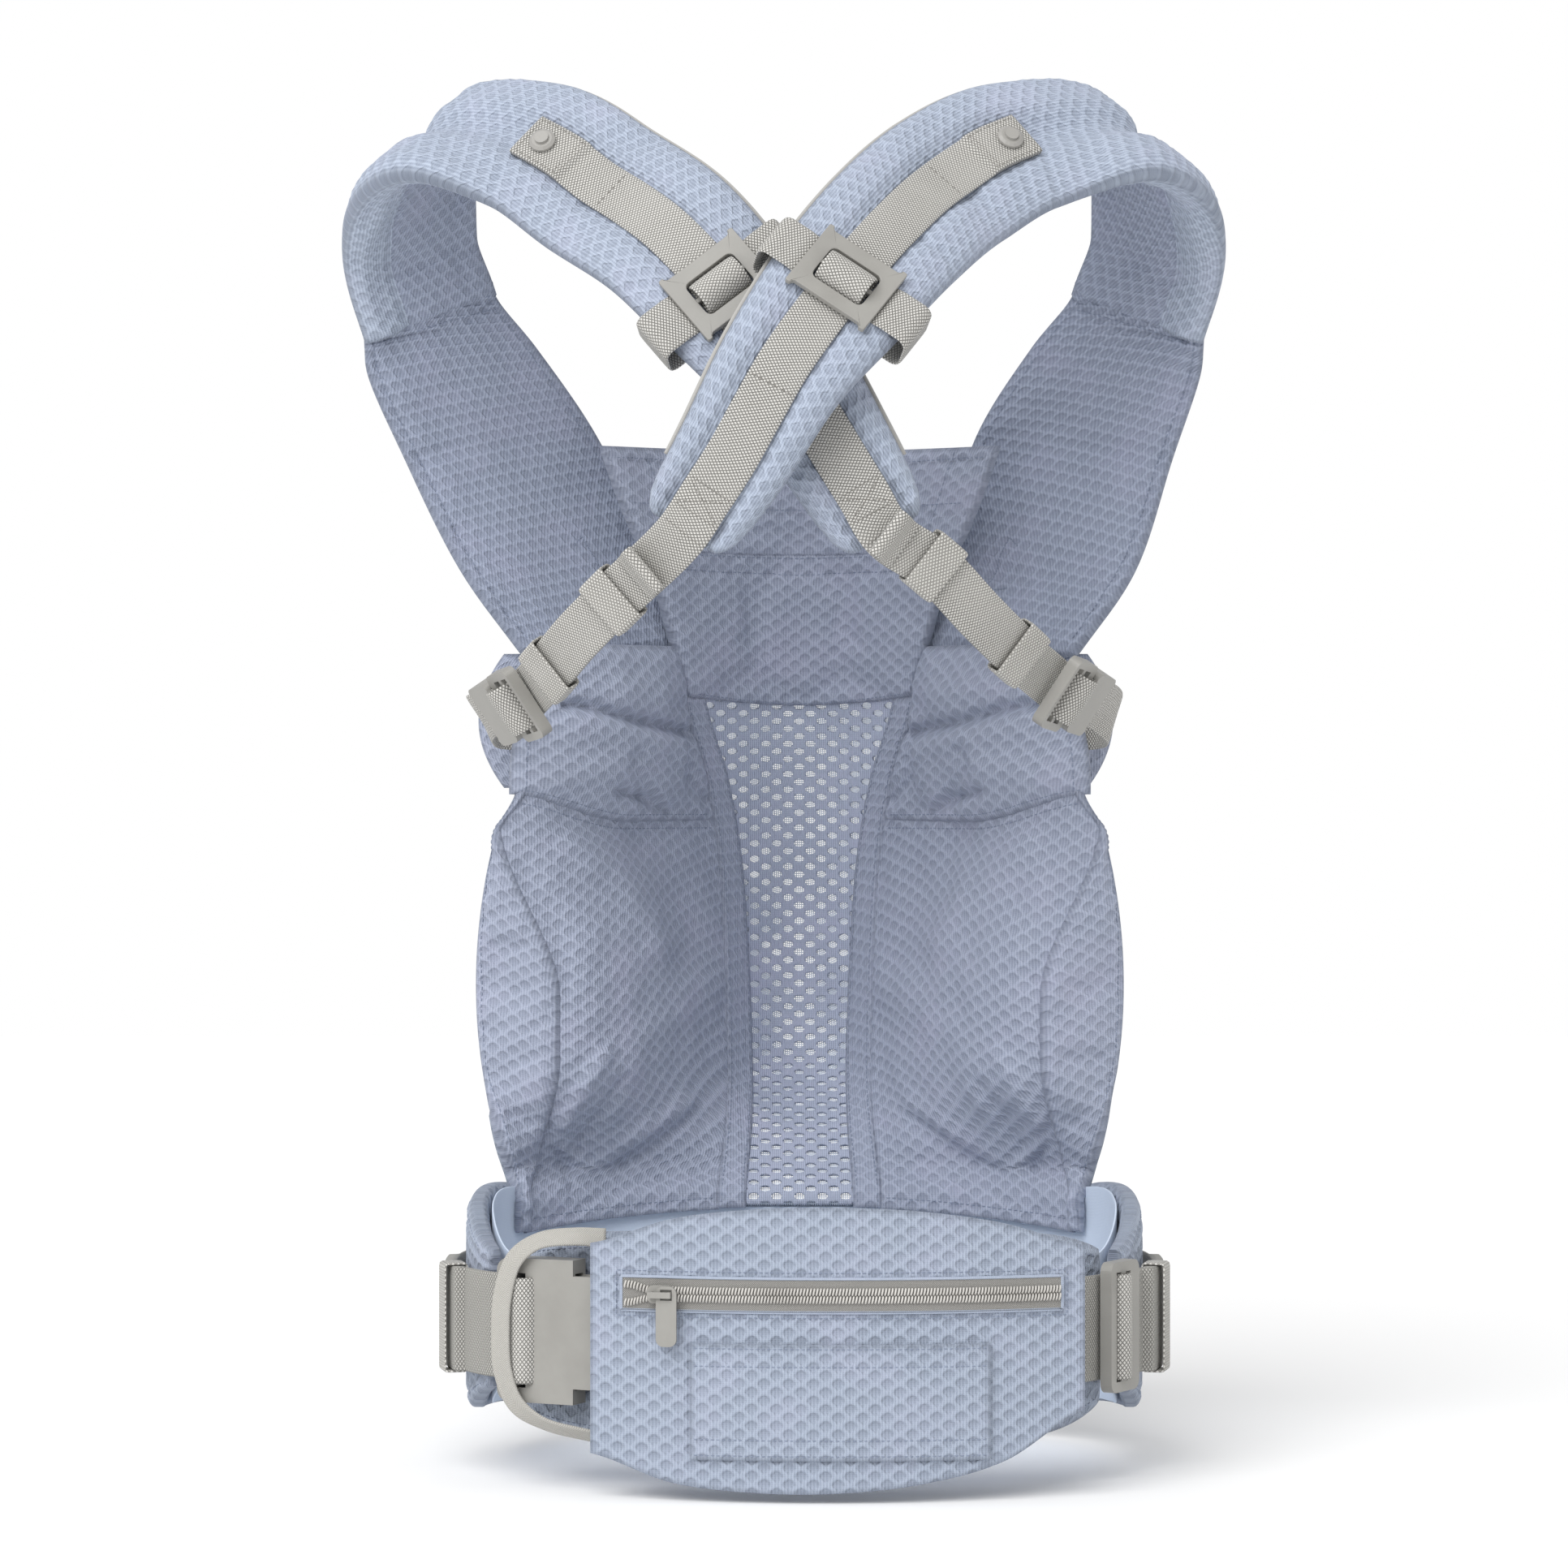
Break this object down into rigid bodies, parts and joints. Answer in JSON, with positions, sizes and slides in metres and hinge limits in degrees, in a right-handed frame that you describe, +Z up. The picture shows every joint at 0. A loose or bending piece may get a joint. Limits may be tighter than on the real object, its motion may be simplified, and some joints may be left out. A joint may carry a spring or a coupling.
{
  "type": "soft baby carrier",
  "caption": "Soft fabric baby carrier in its worn shape: padded waist belt, bowl-shaped panel with a see-through centre, crossed padded shoulder straps, release buckles and a zipped rear pouch.",
  "frame": {"origin": "centre of the wearer's waist, at the middle height of the belt; the wearer's body holds the carrier there", "axes": "+Z up along the wearer's body, +Y towards the wearer's front, where the panel and the baby are, +X towards the wearer's right"},
  "size_m": [0.4424, 0.3358, 0.6741],
  "materials": {
    "knit": "matte knit with small diamond dimples",
    "open_mesh": "matte open-hole knit",
    "lining": "smooth plain weave",
    "webbing": "woven tape, slight sheen",
    "elastic": "herringbone elastic",
    "plastic": "satin moulded plastic",
    "snap": "satin moulded plastic",
    "zip_coil": "satin nylon coil"
  },
  "bodies": {
    "root": {"hip_belt": "knit", "lumbar_pad": "knit", "binding_left": "knit", "binding_right": "knit", "upper_flap": "knit", "lower_panel_left": "knit", "lower_panel_right": "knit", "leg_wing_left": "knit", "leg_wing_right": "knit", "side_gusset_left": "knit", "side_gusset_right": "knit", "strap_wing_left": "knit", "strap_wing_right": "knit", "buckle_pocket_left": "knit", "buckle_pocket_right": "knit", "shoulder_strap_left": "knit", "shoulder_strap_right": "knit", "pouch_body": "knit", "pouch_pocket": "knit", "center_mesh": "open_mesh", "belt_lining": "lining", "strap_webbing_left": "webbing", "strap_webbing_right": "webbing", "socket_tab_left": "webbing", "socket_tab_right": "webbing", "waist_webbing_left": "webbing", "waist_webbing_right": "webbing", "waist_webbing_rear": "webbing", "zipper_tape": "webbing", "safety_elastic": "elastic", "side_socket_left": "plastic", "side_socket_right": "plastic", "waist_socket": "plastic", "snap_stud_left": "snap", "snap_stud_right": "snap", "zipper_coil": "zip_coil"},
    "head_support": {"head_support": "knit"},
    "zipper_slider": {"zipper_slider": "plastic"},
    "zip_pull": {"zip_pull": "plastic"},
    "waist_plug": {"waist_plug": "plastic"},
    "waist_prong_upper": {"waist_prong_upper": "plastic"},
    "waist_prong_lower": {"waist_prong_lower": "plastic"},
    "waist_adjuster": {"waist_adjuster": "plastic"},
    "waist_keeper_left": {"waist_keeper_left": "elastic"},
    "waist_keeper_right": {"waist_keeper_right": "elastic"},
    "side_plug_left": {"side_plug_left": "plastic"},
    "side_prong_upper_left": {"side_prong_upper_left": "plastic"},
    "side_prong_lower_left": {"side_prong_lower_left": "plastic"},
    "strap_slider_left": {"strap_slider_left": "plastic", "slider_band_left": "webbing"},
    "keeper_upper_left": {"keeper_upper_left": "elastic"},
    "keeper_lower_left": {"keeper_lower_left": "elastic"},
    "side_plug_right": {"side_plug_right": "plastic"},
    "side_prong_upper_right": {"side_prong_upper_right": "plastic"},
    "side_prong_lower_right": {"side_prong_lower_right": "plastic"},
    "strap_slider_right": {"strap_slider_right": "plastic", "slider_band_right": "webbing"},
    "keeper_upper_right": {"keeper_upper_right": "elastic"},
    "keeper_lower_right": {"keeper_lower_right": "elastic"}
  },
  "joints": [
    {"name": "head_support_fold", "type": "hinge", "parent": "root", "child": "head_support", "pos_m": [0, 0.1395, 0.378], "axis": [-1, 0, 0], "range_deg": [0, 75]},
    {"name": "zipper_slide", "type": "hinge", "parent": "root", "child": "zipper_slider", "pos_m": [0.017, 0.18, 0.0215], "axis": [0, 0, 1], "range_deg": [0, 30]},
    {"name": "zip_pull_swing", "type": "hinge", "parent": "zipper_slider", "child": "zip_pull", "pos_m": [-0.06255, -0.14682, 0.0215], "axis": [-0.2459, -0.9693, 0], "range_deg": [-30, 30]},
    {"name": "waist_plug_release", "type": "slide", "parent": "root", "child": "waist_plug", "axis": [0.9063, -0.4226, 0], "range_m": [0, 0.016]},
    {"name": "waist_prong_upper_press", "type": "hinge", "parent": "waist_plug", "child": "waist_prong_upper", "pos_m": [-0.08681, -0.11418, 0.0225], "axis": [-0.4226, -0.9063, 0], "range_deg": [0, 8], "stiffness_Nm_per_rad": 0.1},
    {"name": "waist_prong_lower_press", "type": "hinge", "parent": "waist_plug", "child": "waist_prong_lower", "pos_m": [-0.08681, -0.11418, -0.0225], "axis": [0.4226, 0.9063, 0], "range_deg": [0, 8], "stiffness_Nm_per_rad": 0.1},
    {"name": "waist_adjuster_tilt", "type": "hinge", "parent": "root", "child": "waist_adjuster", "pos_m": [0.146, -0.09039, 0], "axis": [0, 0, -1], "range_deg": [0, 30]},
    {"name": "waist_keeper_slide_left", "type": "slide", "parent": "root", "child": "waist_keeper_left", "axis": [0.2445, -0.9696, 0], "range_m": [-0.004, 0.004]},
    {"name": "waist_keeper_slide_right", "type": "slide", "parent": "root", "child": "waist_keeper_right", "axis": [0.2445, 0.9696, 0], "range_m": [-0.004, 0.004]},
    {"name": "side_plug_release_left", "type": "slide", "parent": "root", "child": "side_plug_left", "axis": [0.3884, -0.9161, 0.0996], "range_m": [0, 0.016]},
    {"name": "side_prong_upper_press_left", "type": "hinge", "parent": "side_plug_left", "child": "side_prong_upper_left", "pos_m": [-0.13684, -0.01938, 0.28726], "axis": [0.7518, 0.3775, 0.5407], "range_deg": [0, 9], "stiffness_Nm_per_rad": 0.03},
    {"name": "side_prong_lower_press_left", "type": "hinge", "parent": "side_plug_left", "child": "side_prong_lower_left", "pos_m": [-0.14728, -0.02203, 0.30363], "axis": [-0.7518, -0.3775, -0.5407], "range_deg": [0, 9], "stiffness_Nm_per_rad": 0.03},
    {"name": "strap_slider_slide_left", "type": "slide", "parent": "root", "child": "strap_slider_left", "axis": [0.6117, -0.3079, -0.7287], "range_m": [-0.008, 0.008]},
    {"name": "keeper_upper_slide_left", "type": "slide", "parent": "root", "child": "keeper_upper_left", "axis": [0.6965, 0.4436, -0.564], "range_m": [0, 0.006]},
    {"name": "keeper_lower_slide_left", "type": "slide", "parent": "root", "child": "keeper_lower_left", "axis": [0.5296, 0.7268, -0.4374], "range_m": [-0.006, 0.006]},
    {"name": "side_plug_release_right", "type": "slide", "parent": "root", "child": "side_plug_right", "axis": [-0.3884, -0.9161, 0.0996], "range_m": [0, 0.016]},
    {"name": "side_prong_upper_press_right", "type": "hinge", "parent": "side_plug_right", "child": "side_prong_upper_right", "pos_m": [0.13928, -0.02203, 0.30863], "axis": [-0.7518, 0.3775, 0.5407], "range_deg": [0, 9], "stiffness_Nm_per_rad": 0.03},
    {"name": "side_prong_lower_press_right", "type": "hinge", "parent": "side_plug_right", "child": "side_prong_lower_right", "pos_m": [0.12884, -0.01938, 0.29226], "axis": [0.7518, -0.3775, -0.5407], "range_deg": [0, 9], "stiffness_Nm_per_rad": 0.03},
    {"name": "strap_slider_slide_right", "type": "slide", "parent": "root", "child": "strap_slider_right", "axis": [-0.5388, -0.4656, -0.702], "range_m": [-0.008, 0.008]},
    {"name": "keeper_upper_slide_right", "type": "slide", "parent": "root", "child": "keeper_upper_right", "axis": [-0.5959, 0.5852, -0.55], "range_m": [-0.006, 0.006]},
    {"name": "keeper_lower_slide_right", "type": "slide", "parent": "root", "child": "keeper_lower_right", "axis": [-0.4136, 0.8096, -0.4166], "range_m": [-0.006, 0]}
  ],
  "couplings": [
    {"joint": "waist_prong_lower_press", "follows": "waist_prong_upper_press", "ratio": 1},
    {"joint": "side_prong_lower_press_left", "follows": "side_prong_upper_press_left", "ratio": 1},
    {"joint": "side_prong_lower_press_right", "follows": "side_prong_upper_press_right", "ratio": 1}
  ]
}
